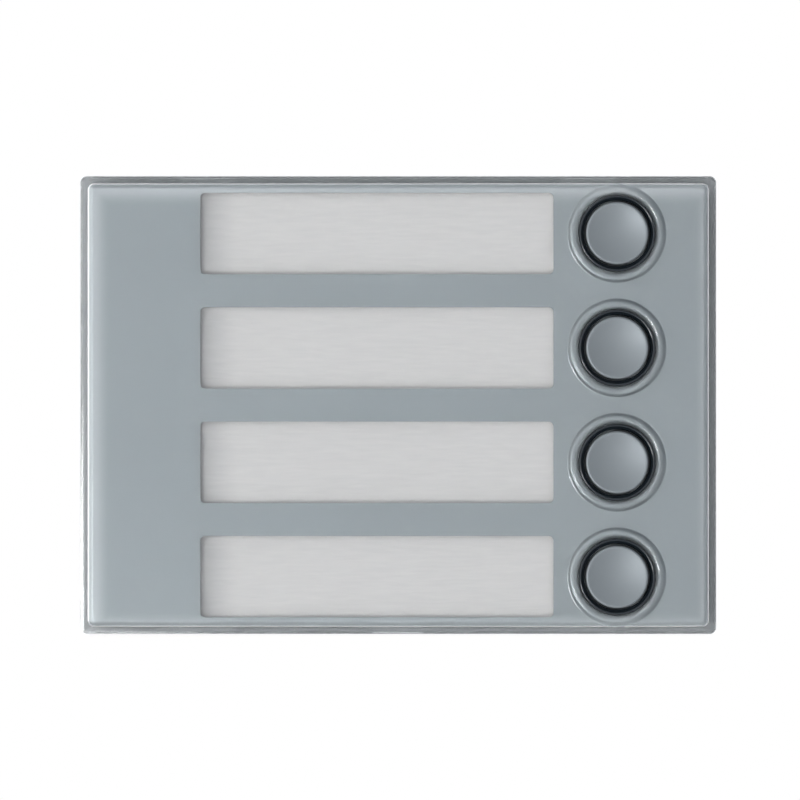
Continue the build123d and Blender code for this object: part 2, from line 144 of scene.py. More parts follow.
# %% Rounded block
def block(name, low, high, corner, rim=0.0, segments=8):
    """A cube from one corner to the other, with its edges along Y rounded, then its front rim."""
    low, high = Vector(low), Vector(high)
    bpy.ops.object.select_all(action="DESELECT")
    bpy.ops.mesh.primitive_cube_add(size=1, location=(low + high) / 2, scale=high - low)
    piece = settle(bpy.context.object, name)
    for radius, wanted in ((corner, "along"), (rim, "front")):
        if not radius:
            continue
        for edge in piece.data.edges:
            ends = [piece.data.vertices[i].co for i in edge.vertices]
            runs_back = abs(ends[0].y - ends[1].y) > 0.01 * MM
            at_front = max(end.y for end in ends) < low.y + 0.01 * MM
            edge.select = runs_back if wanted == "along" else at_front
        for face in piece.data.polygons:
            face.select = False
        bpy.ops.object.mode_set(mode="EDIT")
        bpy.ops.mesh.select_mode(type="EDGE")
        bpy.ops.mesh.bevel(offset=radius, segments=segments, profile=0.5, affect="EDGES")
        bpy.ops.object.mode_set(mode="OBJECT")
    return piece


# %% [markdown]
# ## Turned pieces
# Caps, rings and the swellings round the holes are all round. Each starts as a circle facing the
# visitor, and its edge is extruded step by step, like a potter pulling up a wall: every step moves
# the new edge along Y and scales it to its radius. A spin of a profile would do the same, but this
# way no seam has to be welded.


# %% Turned piece
def turned(name, centre, outline, sides=128, closed=False):
    """Extrudes a circle through (radius, y) steps. A radius of nought closes the end at a pole."""
    centre = Vector(centre)
    start_radius, start_y = outline[0]
    bpy.ops.object.select_all(action="DESELECT")
    bpy.ops.mesh.primitive_circle_add(
        vertices=sides, radius=start_radius, location=(centre.x, start_y, centre.z),
        rotation=(math.pi / 2, 0, 0), fill_type="NOTHING" if closed else "NGON",
    )
    piece = settle(bpy.context.object, name)
    bpy.ops.object.mode_set(mode="EDIT")
    bpy.ops.mesh.select_all(action="SELECT")
    radius, y = start_radius, start_y
    steps = outline[1:] + ([outline[0]] if closed else [])
    for next_radius, next_y in steps:
        bpy.ops.mesh.extrude_edges_move(TRANSFORM_OT_translate={"value": (0, next_y - y, 0)})
        if next_radius == 0:
            bpy.ops.mesh.merge(type="CENTER")
            break
        share = next_radius / radius
        bpy.ops.transform.resize(value=(share, 1, share), center_override=(centre.x, next_y, centre.z))
        radius, y = next_radius, next_y
    bpy.ops.mesh.select_all(action="SELECT")
    bpy.ops.mesh.remove_doubles(threshold=0.0005 * MM)
    bpy.ops.mesh.normals_make_consistent(inside=False)
    bpy.ops.object.mode_set(mode="OBJECT")
    return piece


def arc(centre, radius, start, end, steps):
    """Points of a round stretch, as (radius, y) pairs, from one angle in degrees to another."""
    angles = [math.radians(start + (end - start) * i / steps) for i in range(steps + 1)]
    return [(centre[0] + radius * math.cos(a), centre[1] + radius * math.sin(a)) for a in angles]


# %% [markdown]
# ## The clear cover
# The real cover is one injection moulding of clear acrylic, with a rounded rim and a soft swelling
# round each button hole, where the wall rises like a wave. The wave is a cosine curve on its outer
# side, so that it leaves the flat face with no crease. The same wave is cut into the back, so that
# the wall keeps its thickness. Inside the skirt are four pockets for the hooks of the housing, and a
# notch in the lower edge lets a blade lift the cover off.

# %% Clear cover
cover_corner = 1.0 * MM
cover_rim = 0.95 * MM
skirt = 1.1 * MM
hollow_corner = 1.03 * MM
hollow_rim = 0.93 * MM
collar_foot = 7.85 * MM
collar_crest = 6.9 * MM
hole_radius = 6.1 * MM
collar_rise = 0.42 * MM
collar_drop = 0.3 * MM
face_y = cover_low.y + collar_rise
foil_y = foil_low.y + collar_rise
hollow_y = foil_y - 0.03 * MM


def wave(level, depth, hole=hole_radius):
    """The closed section of a swelling that stands on a level and is cut off at a depth behind it."""
    steps = 14
    outer = [(collar_foot + (collar_crest - collar_foot) * i / steps,
              level - collar_rise * (1 - math.cos(math.pi * i / steps)) / 2) for i in range(steps + 1)]
    inner = [(collar_crest + (hole - collar_crest) * i / steps,
              level - collar_rise + collar_drop * (1 - math.cos(math.pi * i / steps / 2)))
             for i in range(1, steps + 1)]
    spare = hole - 0.2 * MM
    return [(collar_foot, level + depth)] + outer + inner + [(spare, inner[-1][1]), (spare, level + depth)]


def drill(piece, centre, radius, depth):
    """Drills a round hole along Y, this deep to both sides of a centre."""
    bpy.ops.object.select_all(action="DESELECT")
    bpy.ops.mesh.primitive_cylinder_add(
        vertices=128, radius=radius, depth=2 * depth, location=centre, rotation=(math.pi / 2, 0, 0),
    )
    return cut(piece, settle(bpy.context.object, "drill"))


front_cover = block("cover_moulding", (cover_low.x, face_y, cover_low.z), cover_high, cover_corner, cover_rim)
hollow = block("hollow", (cover_low.x + skirt, hollow_y, cover_low.z + skirt),
               (cover_high.x - skirt, cover_high.y + skirt, cover_high.z - skirt), hollow_corner, hollow_rim)
cut(front_cover, hollow)
for height in row_heights:
    centre = (button_x, 0, height)
    cut(front_cover, turned("swelling", centre, wave(face_y, 0.4 * MM), closed=True), "UNION")
    cut(front_cover, turned("underside", centre, wave(hollow_y, 0.4 * MM), closed=True))
    drill(front_cover, (button_x, face_y, height), hole_radius, 4 * MM)

# %% Snap pockets and lift notch
snap_x = 30.0 * MM
snap_pocket = Vector((9.0, 1.2, 1.0)) * MM
snap_bottom = -1.9 * MM
for side_x in (-snap_x, snap_x):
    for edge_z in (cover_low.z + skirt, cover_high.z - skirt):
        middle = Vector((side_x, snap_bottom - snap_pocket.y / 2, edge_z))
        cut(front_cover, block("pocket", middle - snap_pocket / 2, middle + snap_pocket / 2, 0))
notch = Vector((8.0, 1.2, 2.4)) * MM
notch_low = Vector((-notch.x / 2, cover_high.y - notch.y, cover_low.z - notch.z / 2))
cut(front_cover, block("notch", notch_low, notch_low + notch + Vector((0, MM, 0)), 0))
smooth(front_cover)
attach(front_cover, "root")
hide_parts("front_cover")
print("cover faces:", len(front_cover.data.polygons))

# %% [markdown]
# ## The silver foil
# Behind the cover lies a thin sheet, printed silver and formed like a shallow tray, which gives the
# panel its colour. It is embossed under each swelling, so the rings of light round the buttons come
# from the metal-like sheet as much as from the clear wall. It is made as the cover is, and then the
# windows are cut out with rounded blocks.

# %% Silver foil
foil_thickness = 0.3 * MM
foil_corner = 1.0 * MM
foil_fold = 0.9 * MM
foil_hole = 6.1 * MM
window_corner = 0.8 * MM
window_size = Vector((55.6, 0, 12.8)) * MM
window_centres = [(low + high) / 2 for low, high in card_boxes]

silver_foil = block("foil_sheet", (foil_low.x, foil_y, foil_low.z), foil_high, foil_corner, foil_fold)
hollow = block("foil_hollow",
               (foil_low.x + foil_thickness, foil_y + foil_thickness, foil_low.z + foil_thickness),
               (foil_high.x - foil_thickness, foil_high.y + skirt, foil_high.z - foil_thickness),
               foil_corner - foil_thickness, foil_fold - foil_thickness)
cut(silver_foil, hollow)
for centre in window_centres:
    low, high = centre - window_size / 2, centre + window_size / 2
    low.y, high.y = foil_y - MM, foil_y + MM
    cut(silver_foil, block("window", low, high, window_corner))
for height in row_heights:
    centre = (button_x, 0, height)
    drill(silver_foil, (button_x, foil_y, height), collar_foot - 0.3 * MM, 2 * MM)
    front = wave(foil_y, 0, foil_hole)[1:-2]
    emboss = front + [(radius, y + foil_thickness) for radius, y in reversed(front)]
    cut(silver_foil, turned("embossing", centre, emboss, closed=True), "UNION")
smooth(silver_foil)
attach(silver_foil, "root")
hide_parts("decor_foil")
print("foil faces:", len(silver_foil.data.polygons))

# %% [markdown]
# ## Button caps and rings
# The cap is dished so that a fingertip finds its middle, and it ends in a small round brow. The
# ring is a polished funnel that leads the finger in, with a fine step where the mould parts. Both
# are turned once, and copied for the other rows, each copy with a mesh of its own.

# %% Caps
cap_low, cap_high = cap_boxes[0]
cap_radius = 4.9 * MM
cap_flange = (cap_high.x - cap_low.x) / 2
brow = 0.3 * MM
dish_depth = 0.55 * MM
flange_front = -10.85 * MM
flange_back = -9.95 * MM
stem_radius = 2.1 * MM
dish_edge = cap_radius - brow
dish_steps = 18
dish = [(dish_edge * (1 - i / dish_steps), cap_low.y + dish_depth * (1 - (1 - i / dish_steps) ** 2))
        for i in range(dish_steps + 1)]
dish[-1] = (0, cap_low.y + dish_depth)
cap_outline = [
    (stem_radius - 0.2 * MM, cap_high.y),
    (stem_radius, cap_high.y - 0.2 * MM),
    (stem_radius, flange_back),
    (cap_flange - 0.1 * MM, flange_back),
    (cap_flange, flange_back - 0.1 * MM),
    (cap_flange, flange_front + 0.1 * MM),
    (cap_flange - 0.1 * MM, flange_front),
    (cap_radius, flange_front),
]
cap_outline += arc((dish_edge, cap_low.y + brow), brow, 0, -90, 8)
cap_outline += dish[1:]


def copy_to_rows(piece, stem):
    """Copies a finished piece of the first row to the other rows, each with its own mesh."""
    pieces = [piece]
    piece.name = f"{stem}_1"
    for row in rows[1:]:
        twin = piece.copy()
        twin.data = piece.data.copy()
        bpy.context.scene.collection.objects.link(twin)
        twin.location.z += row_heights[row - 1] - row_heights[0]
        pieces.append(settle(twin, f"{stem}_{row}"))
    return pieces


caps = copy_to_rows(smooth(turned("cap", (button_x, 0, row_heights[0]), cap_outline)), "call_button")
for row, cap in zip(rows, caps):
    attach(cap, f"button_{row}")
    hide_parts(f"button_cap_{row}")
print("cap faces:", len(caps[0].data.polygons))

# %% Rings
ring_low, ring_high = ring_boxes[0]
ring_bore = 5.2 * MM
ring_radius = 5.98 * MM
ring_flange = (ring_high.x - ring_low.x) / 2
ring_flange_front = -11.82 * MM
lip = 0.2 * MM
ring_outline = [
    (ring_bore, ring_high.y),
    (ring_flange, ring_high.y),
    (ring_flange, ring_flange_front),
    (ring_radius, ring_flange_front),
]
ring_outline += arc((ring_radius - lip, ring_low.y + lip), lip, 0, -120, 8)
ring_outline += [
    (ring_radius - 0.36 * MM, ring_low.y + 0.22 * MM),
    (ring_radius - 0.42 * MM, ring_low.y + 0.27 * MM),
]
ring_outline += arc((ring_bore + 0.55 * MM, ring_low.y + 1.15 * MM), 0.55 * MM, -120, -180, 6)
rings = copy_to_rows(smooth(turned("ring", (button_x, 0, row_heights[0]), ring_outline, closed=True), 25),
                     "guide_ring")
for row, ring in zip(rows, rings):
    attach(ring, "root")
    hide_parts(f"button_ring_{row}")
print("ring faces:", len(rings[0].data.polygons))

# %% [markdown]
# ## Silicone boots
# A boot is a thin silicone cup, moulded in one piece, that stands on the board and holds the cap up.
# It is turned like the caps: a foot, a straight wall, and a cone that leans in to the stem. It folds
# as its cap goes in; here it rides with the housing and keeps its moulded shape.

# %% Boots
boot_low, boot_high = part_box("button_boot_1")
boot_base = (boot_high.x - boot_low.x) / 2
boot_wall = boot_base - 0.15 * MM
boot_inside = boot_wall - 0.6 * MM
boot_neck = stem_radius + 1.9 * MM
boot_pad = stem_radius + 1.4 * MM
boot_mouth = stem_radius + 0.4 * MM
boot_step = boot_high.y - 0.7 * MM
boot_shoulder = boot_high.y - 3.5 * MM
boot_ceiling = boot_high.y - 3.3 * MM
boot_pad_back = boot_low.y + 0.6 * MM
boot_outline = [
    (boot_inside, boot_high.y),
    (boot_base, boot_high.y),
    (boot_base, boot_step),
    (boot_wall, boot_step),
    (boot_wall, boot_shoulder),
    (boot_neck, boot_low.y),
    (boot_mouth, boot_low.y),
    (boot_mouth, boot_pad_back),
    (boot_pad, boot_pad_back),
    (boot_inside, boot_ceiling),
]
first_boot = turned("boot", (button_x, 0, row_heights[0]), boot_outline, sides=64, closed=True)
boots = copy_to_rows(smooth(first_boot), "silicone_boot")
for row, boot in zip(rows, boots):
    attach(boot, "root")
    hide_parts(f"button_boot_{row}")
    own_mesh(boot)
print("boot faces:", len(boots[0].data.polygons))

# %% [markdown]
# ## Node tools
# A procedural finish is a small graph of shader nodes. Two helpers keep the graphs short: one adds
# a node and fills its sockets, and one joins two sockets.


# %% Node helpers
def add_node(tree, kind, settings=None, **sockets):
    """Adds a node. Settings are its own properties, and sockets are filled by name."""
    node = tree.nodes.new(kind)
    for key, value in (settings or {}).items():
        setattr(node, key, value)
    for key, value in sockets.items():
        node.inputs[key.replace("_", " ")].default_value = value
    return node


def join(tree, source, socket, target, place):
    """Joins an output of one node to an input of another."""
    tree.links.new(source.outputs[socket], target.inputs[place])


def finish(name, colour, roughness, **sockets):
    """A new material with its Principled shader, and the shader's plain values."""
    material = bpy.data.materials.new(name)
    material.use_nodes = True
    shader = material.node_tree.nodes["Principled BSDF"]
    shader.inputs["Base Color"].default_value = (*colour, 1)
    shader.inputs["Roughness"].default_value = roughness
    for key, value in sockets.items():
        shader.inputs[key.replace("_", " ")].default_value = value
    material.diffuse_color = (*colour, 1)
    return material, material.node_tree, shader


def new_group(name, inputs, outputs):
    """A node group with named sockets. Inputs are (name, kind, default)."""
    group = bpy.data.node_groups.new(name, "ShaderNodeTree")
    for label, kind, default in inputs:
        socket = group.interface.new_socket(label, in_out="INPUT", socket_type=f"NodeSocket{kind}")
        socket.default_value = default
    for label, kind in outputs:
        group.interface.new_socket(label, in_out="OUTPUT", socket_type=f"NodeSocket{kind}")
    return group, group.nodes.new("NodeGroupInput"), group.nodes.new("NodeGroupOutput")


# %% [markdown]
# ## Shared effects
# Real surfaces are never one flat value. Four effects come back in most of the finishes here: a
# mottle that drifts between two colours, a grain that gives a moulded or foamed surface its height,
# rubbed edges, and handling that makes the gloss uneven. Each is a node group, built once, so that
# every finish only says how strong it wants the effect.

# %% Mottle
mottle, mottle_in, mottle_out = new_group(
    "colour_mottle",
    [("Colour", "Color", (1, 1, 1, 1)), ("Drift", "Color", (1, 1, 1, 1)),
     ("Patch Size", "Float", 300.0), ("Strength", "Float", 0.5)],
    [("Colour", "Color")],
)
mottle_place = add_node(mottle, "ShaderNodeTexCoord")
mottle_noise = add_node(mottle, "ShaderNodeTexNoise", None, Detail=4.0, Roughness=0.6)
mottle_share = add_node(mottle, "ShaderNodeMath", {"operation": "MULTIPLY"})
mottle_mix = add_node(mottle, "ShaderNodeMix", {"data_type": "RGBA"})
join(mottle, mottle_place, "Object", mottle_noise, "Vector")
join(mottle, mottle_in, "Patch Size", mottle_noise, "Scale")
join(mottle, mottle_noise, "Fac", mottle_share, 0)
join(mottle, mottle_in, "Strength", mottle_share, 1)
join(mottle, mottle_share, "Value", mottle_mix, "Factor")
join(mottle, mottle_in, "Colour", mottle_mix, "A")
join(mottle, mottle_in, "Drift", mottle_mix, "B")
join(mottle, mottle_mix, "Result", mottle_out, "Colour")
print("mottle nodes:", len(mottle.nodes))

# %% Grain
grain, grain_in, grain_out = new_group(
    "moulded_grain",
    [("Fineness", "Float", 4000.0), ("Pits", "Float", 0.5)],
    [("Height", "Float")],
)
grain_place = add_node(grain, "ShaderNodeTexCoord")
grain_noise = add_node(grain, "ShaderNodeTexNoise", None, Detail=5.0, Roughness=0.55)
grain_cells = add_node(grain, "ShaderNodeTexVoronoi", {"feature": "SMOOTH_F1"})
grain_mix = add_node(grain, "ShaderNodeMix", {"data_type": "FLOAT"})
join(grain, grain_place, "Object", grain_noise, "Vector")
join(grain, grain_place, "Object", grain_cells, "Vector")
join(grain, grain_in, "Fineness", grain_noise, "Scale")
join(grain, grain_in, "Fineness", grain_cells, "Scale")
join(grain, grain_in, "Pits", grain_mix, "Factor")
join(grain, grain_noise, "Fac", grain_mix, "A")
join(grain, grain_cells, "Distance", grain_mix, "B")
join(grain, grain_mix, "Result", grain_out, "Height")
print("grain nodes:", len(grain.nodes))

# %% Rubbed edges
rubbed, rubbed_in, rubbed_out = new_group(
    "rubbed_edges",
    [("Colour", "Color", (1, 1, 1, 1)), ("Bare Colour", "Color", (1, 1, 1, 1)),
     ("Width", "Float", 0.0002), ("Strength", "Float", 0.5)],
    [("Colour", "Color"), ("Mask", "Float")],
)
rubbed_bevel = add_node(rubbed, "ShaderNodeBevel", {"samples": 4})
rubbed_normal = add_node(rubbed, "ShaderNodeNewGeometry")
rubbed_dot = add_node(rubbed, "ShaderNodeVectorMath", {"operation": "DOT_PRODUCT"})
rubbed_range = add_node(rubbed, "ShaderNodeMapRange", None, From_Min=0.995, From_Max=0.8)
rubbed_place = add_node(rubbed, "ShaderNodeTexCoord")
rubbed_noise = add_node(rubbed, "ShaderNodeTexNoise", None, Scale=900.0, Detail=6.0)
rubbed_break = add_node(rubbed, "ShaderNodeMath", {"operation": "MULTIPLY"})
rubbed_share = add_node(rubbed, "ShaderNodeMath", {"operation": "MULTIPLY", "use_clamp": True})
rubbed_mix = add_node(rubbed, "ShaderNodeMix", {"data_type": "RGBA"})
join(rubbed, rubbed_in, "Width", rubbed_bevel, "Radius")
join(rubbed, rubbed_bevel, "Normal", rubbed_dot, 0)
join(rubbed, rubbed_normal, "Normal", rubbed_dot, 1)
join(rubbed, rubbed_dot, "Value", rubbed_range, "Value")
join(rubbed, rubbed_place, "Object", rubbed_noise, "Vector")
join(rubbed, rubbed_range, "Result", rubbed_break, 0)
join(rubbed, rubbed_noise, "Fac", rubbed_break, 1)
join(rubbed, rubbed_break, "Value", rubbed_share, 0)
join(rubbed, rubbed_in, "Strength", rubbed_share, 1)
join(rubbed, rubbed_share, "Value", rubbed_mix, "Factor")
join(rubbed, rubbed_in, "Colour", rubbed_mix, "A")
join(rubbed, rubbed_in, "Bare Colour", rubbed_mix, "B")
join(rubbed, rubbed_mix, "Result", rubbed_out, "Colour")
join(rubbed, rubbed_share, "Value", rubbed_out, "Mask")
print("rubbed edge nodes:", len(rubbed.nodes))

# %% Handling
handling, handling_in, handling_out = new_group(
    "handled_gloss",
    [("Roughness", "Float", 0.3), ("Unevenness", "Float", 0.1), ("Smear Size", "Float", 120.0)],
    [("Roughness", "Float")],
)
handling_place = add_node(handling, "ShaderNodeTexCoord")
handling_noise = add_node(handling, "ShaderNodeTexNoise", None, Detail=3.0, Distortion=0.6)
handling_centre = add_node(handling, "ShaderNodeMath", {"operation": "SUBTRACT"})
handling_centre.inputs[1].default_value = 0.5
handling_share = add_node(handling, "ShaderNodeMath", {"operation": "MULTIPLY"})
handling_sum = add_node(handling, "ShaderNodeMath", {"operation": "ADD", "use_clamp": True})
join(handling, handling_place, "Object", handling_noise, "Vector")
join(handling, handling_in, "Smear Size", handling_noise, "Scale")
join(handling, handling_noise, "Fac", handling_centre, 0)
join(handling, handling_centre, "Value", handling_share, 0)
join(handling, handling_in, "Unevenness", handling_share, 1)
join(handling, handling_share, "Value", handling_sum, 0)
join(handling, handling_in, "Roughness", handling_sum, 1)
join(handling, handling_sum, "Value", handling_out, "Roughness")
print("handling nodes:", len(handling.nodes))


# %% [markdown]
# ## One recipe for the finishes
# Most finishes are the same graph with different strengths: mottled colour, rubbed edges, uneven
# gloss and a grain that drives a bump. The recipe takes the values that set one plastic or metal
# apart from the next, and leaves the shader's plain values, such as metallic, on its own sockets.


# %% Finish recipe
def place_group(tree, group, **sockets):
    """Places a node group in a material and fills its sockets by name."""
    node = tree.nodes.new("ShaderNodeGroup")
    node.node_tree = group
    for key, value in sockets.items():
        node.inputs[key.replace("_", " ")].default_value = value
    return node


def bump(tree, shader, source, socket, strength, distance):
    """Lets a height drive the shader's normal."""
    node = add_node(tree, "ShaderNodeBump", None, Strength=strength, Distance=distance)
    join(tree, source, socket, node, "Height")
    join(tree, node, "Normal", shader, "Normal")
    return node


def worked_finish(name, colour, drift, roughness, bare=None, wear=0.4, edge=0.15 * MM, patches=300.0,
                  unevenness=0.12, fineness=5000.0, pits=0.4, relief=0.3, depth=0.01 * MM, **plain):
    """A full finish: mottle, rubbed edges, uneven gloss and grain."""
    material, tree, shader = finish(name, colour, roughness, **plain)
    base = place_group(tree, mottle, Colour=(*colour, 1), Drift=(*drift, 1), Patch_Size=patches, Strength=0.8)
    edges = place_group(tree, rubbed, Bare_Colour=(*(bare or drift), 1), Width=edge, Strength=wear)
    gloss = place_group(tree, handling, Roughness=roughness, Unevenness=unevenness)
    height = place_group(tree, grain, Fineness=fineness, Pits=pits)
    join(tree, base, "Colour", edges, "Colour")
    join(tree, edges, "Colour", shader, "Base Color")
    join(tree, gloss, "Roughness", shader, "Roughness")
    bump(tree, shader, height, "Height", relief, depth)
    return material


def paint(material, *pieces):
    """Gives the pieces one finish."""
    for piece in pieces:
        piece.data.materials.clear()
        piece.data.materials.append(material)


# %% [markdown]
# ## Clear acrylic
# The cover is as clear as glass, and its gloss is that of acrylic. The body of the wall gets a lower
# index than acrylic has. That is a choice of look: with a higher index, thin dark rings at the feet of
# the swellings hide the soft light on the foil. A coat with the index of acrylic keeps the gloss. The
# face of a moulding is never quite flat: a slow ripple bends the reflections a little, which is a bump
# with a very large pattern.

# %% Clear acrylic
acrylic_index = 1.49
body_index = 1.20
clear_acrylic, tree, shader = finish(
    "clear_acrylic", (0.985, 0.992, 0.993), 0.02, Transmission_Weight=1.0, IOR=body_index,
    Coat_Weight=0.5, Coat_IOR=acrylic_index, Coat_Roughness=0.14,
)
place = add_node(tree, "ShaderNodeTexCoord")
ripple = add_node(tree, "ShaderNodeTexNoise", None, Scale=38.0, Detail=1.0)
join(tree, place, "Object", ripple, "Vector")
bump(tree, shader, ripple, "Fac", 0.25, 0.3 * MM)
gloss = place_group(tree, handling, Roughness=0.03, Unevenness=0.03, Smear_Size=160.0)
join(tree, gloss, "Roughness", shader, "Roughness")
paint(clear_acrylic, front_cover)
print("body index:", body_index, "coat index:", acrylic_index)

# %% [markdown]
# ## Silver foil
# The foil is a fine metallic print under a matt lacquer. Light gathers in a clear rim, and here that
# glow is painted: the colour brightens toward the fold, a little further in at the left and the top.
# It is a stand-in, so it stays put when the light moves. The distance to the border is worked out from
# the object's own coordinates: the half width less the distance from the middle, and the same for the
# height.


# %% Border distance
def border_mask(tree, half_width, half_height, near, far, shift):
    """One at the border of a panel, falling smoothly to nought further in."""
    place = add_node(tree, "ShaderNodeTexCoord")
    moved = add_node(tree, "ShaderNodeMapping", None, Location=shift)
    parts = add_node(tree, "ShaderNodeSeparateXYZ")
    join(tree, place, "Object", moved, "Vector")
    join(tree, moved, "Vector", parts, "Vector")
    gaps = []
    for axis, half in (("X", half_width), ("Z", half_height)):
        size = add_node(tree, "ShaderNodeMath", {"operation": "ABSOLUTE"})
        gap = add_node(tree, "ShaderNodeMath", {"operation": "SUBTRACT"})
        gap.inputs[0].default_value = half
        join(tree, parts, axis, size, 0)
        join(tree, size, "Value", gap, 1)
        gaps.append(gap)
    nearest = add_node(tree, "ShaderNodeMath", {"operation": "SMOOTH_MIN"})
    nearest.inputs[2].default_value = 0.8 * MM
    join(tree, gaps[0], "Value", nearest, 0)
    join(tree, gaps[1], "Value", nearest, 1)
    fade = add_node(tree, "ShaderNodeMapRange", {"interpolation_type": "SMOOTHERSTEP"},
                    From_Min=near, From_Max=far, To_Min=1.0, To_Max=0.0)
    join(tree, nearest, "Value", fade, "Value")
    return fade


# %% Silver foil finish
foil_colour = (0.305, 0.338, 0.352)
foil_pale = (0.50, 0.535, 0.55)
silver_print, tree, shader = finish("silver_print", foil_colour, 0.36, Metallic=0.55)
base = place_group(tree, mottle, Colour=(*foil_colour, 1), Drift=(0.28, 0.32, 0.338, 1), Patch_Size=26.0,
                   Strength=0.6)
glow_near = 0.6 * MM
glow_far = 4.4 * MM
glow_shift = (-0.6 * MM, 0, 0.6 * MM)
glow = border_mask(tree, cover_high.x, cover_high.z, glow_near, glow_far, glow_shift)
pale = add_node(tree, "ShaderNodeMix", {"data_type": "RGBA"})
pale.inputs["B"].default_value = (*foil_pale, 1)
join(tree, base, "Colour", pale, "A")
join(tree, glow, "Result", pale, "Factor")
join(tree, pale, "Result", shader, "Base Color")
flake = place_group(tree, grain, Fineness=16000.0, Pits=0.3)
bump(tree, shader, flake, "Height", 0.03, 0.003 * MM)
gloss = place_group(tree, handling, Roughness=0.34, Unevenness=0.05, Smear_Size=60.0)
join(tree, gloss, "Roughness", shader, "Roughness")
paint(silver_print, silver_foil)
print("foil glow reaches in (mm):", round(glow_far / MM, 1))

# %% [markdown]
# ## Name cards
# The cards are blank matt board. Seen close, board has long fibres lying across it, so a noise is
# stretched along X for a faint streak, and the same noise gives the tooth of the paper. The shade at
# the left end is painted into the colour as well, as a stand-in for weaker light there.

# %% Card paper
card_low = card_boxes[0][0]
card_colour = (0.795, 0.775, 0.76)
card_shade = (0.44, 0.44, 0.445)
shade_start = card_low.x + 0.8 * MM
shade_end = card_low.x + 8.0 * MM
card_board, tree, shader = finish("card_board", card_colour, 0.75, Specular_IOR_Level=0.25)
place = add_node(tree, "ShaderNodeTexCoord")
stretch = add_node(tree, "ShaderNodeMapping", None, Scale=(0.12, 1.0, 1.0))
fibres = add_node(tree, "ShaderNodeTexNoise", None, Scale=2600.0, Detail=4.0)
join(tree, place, "Object", stretch, "Vector")
join(tree, stretch, "Vector", fibres, "Vector")
streaks = add_node(tree, "ShaderNodeMapRange", None, From_Min=0.3, From_Max=0.7, To_Min=0.0, To_Max=0.12)
join(tree, fibres, "Fac", streaks, "Value")
parts = add_node(tree, "ShaderNodeSeparateXYZ")
join(tree, place, "Object", parts, "Vector")
end_fade = add_node(tree, "ShaderNodeMapRange", {"interpolation_type": "SMOOTHSTEP"},
                    From_Min=shade_start, From_Max=shade_end, To_Min=0.62, To_Max=0.0)
join(tree, parts, "X", end_fade, "Value")
shade_sum = add_node(tree, "ShaderNodeMath", {"operation": "ADD", "use_clamp": True})
join(tree, streaks, "Result", shade_sum, 0)
join(tree, end_fade, "Result", shade_sum, 1)
toned = add_node(tree, "ShaderNodeMix", {"data_type": "RGBA"})
toned.inputs["A"].default_value = (*card_colour, 1)
toned.inputs["B"].default_value = (*card_shade, 1)
join(tree, shade_sum, "Value", toned, "Factor")
join(tree, toned, "Result", shader, "Base Color")
bump(tree, shader, fibres, "Fac", 0.25, 0.02 * MM)
paint(card_board, *[nodes[f"name_card_{row}"] for row in rows])

# %% [markdown]
# ## Buttons
# The caps carry a satin silver lacquer, and the rings are black plastic with a polished face. Both
# have uneven gloss from handling, and their edges are a little paler where they rub.

# %% Button finishes
cap_lacquer = worked_finish(
    "cap_lacquer", (0.20, 0.222, 0.237), (0.18, 0.203, 0.218), 0.46, bare=(0.36, 0.38, 0.39), wear=0.25,
    edge=0.1 * MM, patches=180.0, unevenness=0.10, fineness=14000.0, relief=0.10, depth=0.004 * MM,
    Metallic=0.35,
)
paint(cap_lacquer, *caps)
ring_polish = worked_finish(
    "ring_polish", (0.010, 0.016, 0.022), (0.016, 0.022, 0.028), 0.12, bare=(0.05, 0.055, 0.06), wear=0.3,
    edge=0.06 * MM, patches=500.0, unevenness=0.08, fineness=9000.0, relief=0.05, depth=0.003 * MM,
)
paint(ring_polish, *rings)
print("button finishes:", cap_lacquer.name, ring_polish.name)

# %% [markdown]
# ## Housing and the pieces behind
# Behind the foil everything is made to work, not to be looked at: spark-eroded grey plastic,
# grey moulding, a green board, opal light guides, tin, brass and zinc. Each still has its own grain,
# because a fitter sees them when the cover is off.

# %% Plastics behind the face
housing_plastic = worked_finish("housing_plastic", (0.50, 0.52, 0.53), (0.54, 0.555, 0.562), 0.52,
                                bare=(0.62, 0.63, 0.64), wear=0.35, edge=0.2 * MM, patches=220.0,
                                fineness=3800.0, pits=0.6, relief=0.55, depth=0.02 * MM)
paint(housing_plastic, nodes["rear_housing"])
frame_plastic = worked_finish("frame_plastic", (0.15, 0.155, 0.16), (0.19, 0.195, 0.2), 0.5, patches=150.0)
paint(frame_plastic, nodes["card_frame"])
opal_plastic = worked_finish("opal_plastic", (0.86, 0.87, 0.86), (0.8, 0.82, 0.83), 0.42, wear=0.1,
                             patches=90.0, relief=0.1, Subsurface_Weight=0.3, Subsurface_Scale=0.002)
paint(opal_plastic, *[nodes[f"light_guide_{row}"] for row in rows])
switch_plastic = worked_finish("switch_plastic", (0.02, 0.02, 0.021), (0.03, 0.03, 0.031), 0.45)
paint(switch_plastic, *[nodes[f"{part}_{row}"] for part in ("switch_base", "switch_plunger") for row in rows])
socket_plastic = worked_finish("socket_plastic", (0.72, 0.68, 0.55), (0.66, 0.61, 0.48), 0.4, edge=0.1 * MM,
                               bare=(0.8, 0.77, 0.66), patches=260.0, fineness=6000.0)
paint(socket_plastic, nodes["link_socket_1"], nodes["link_socket_2"])
chip_epoxy = worked_finish("chip_epoxy", (0.025, 0.025, 0.027), (0.035, 0.035, 0.038), 0.6, fineness=9000.0)
paint(chip_epoxy, nodes["control_chip"])
lamp_body = worked_finish("lamp_body", (0.88, 0.84, 0.55), (0.9, 0.88, 0.72), 0.35, wear=0.1)
paint(lamp_body, nodes["backlight_lamps"])

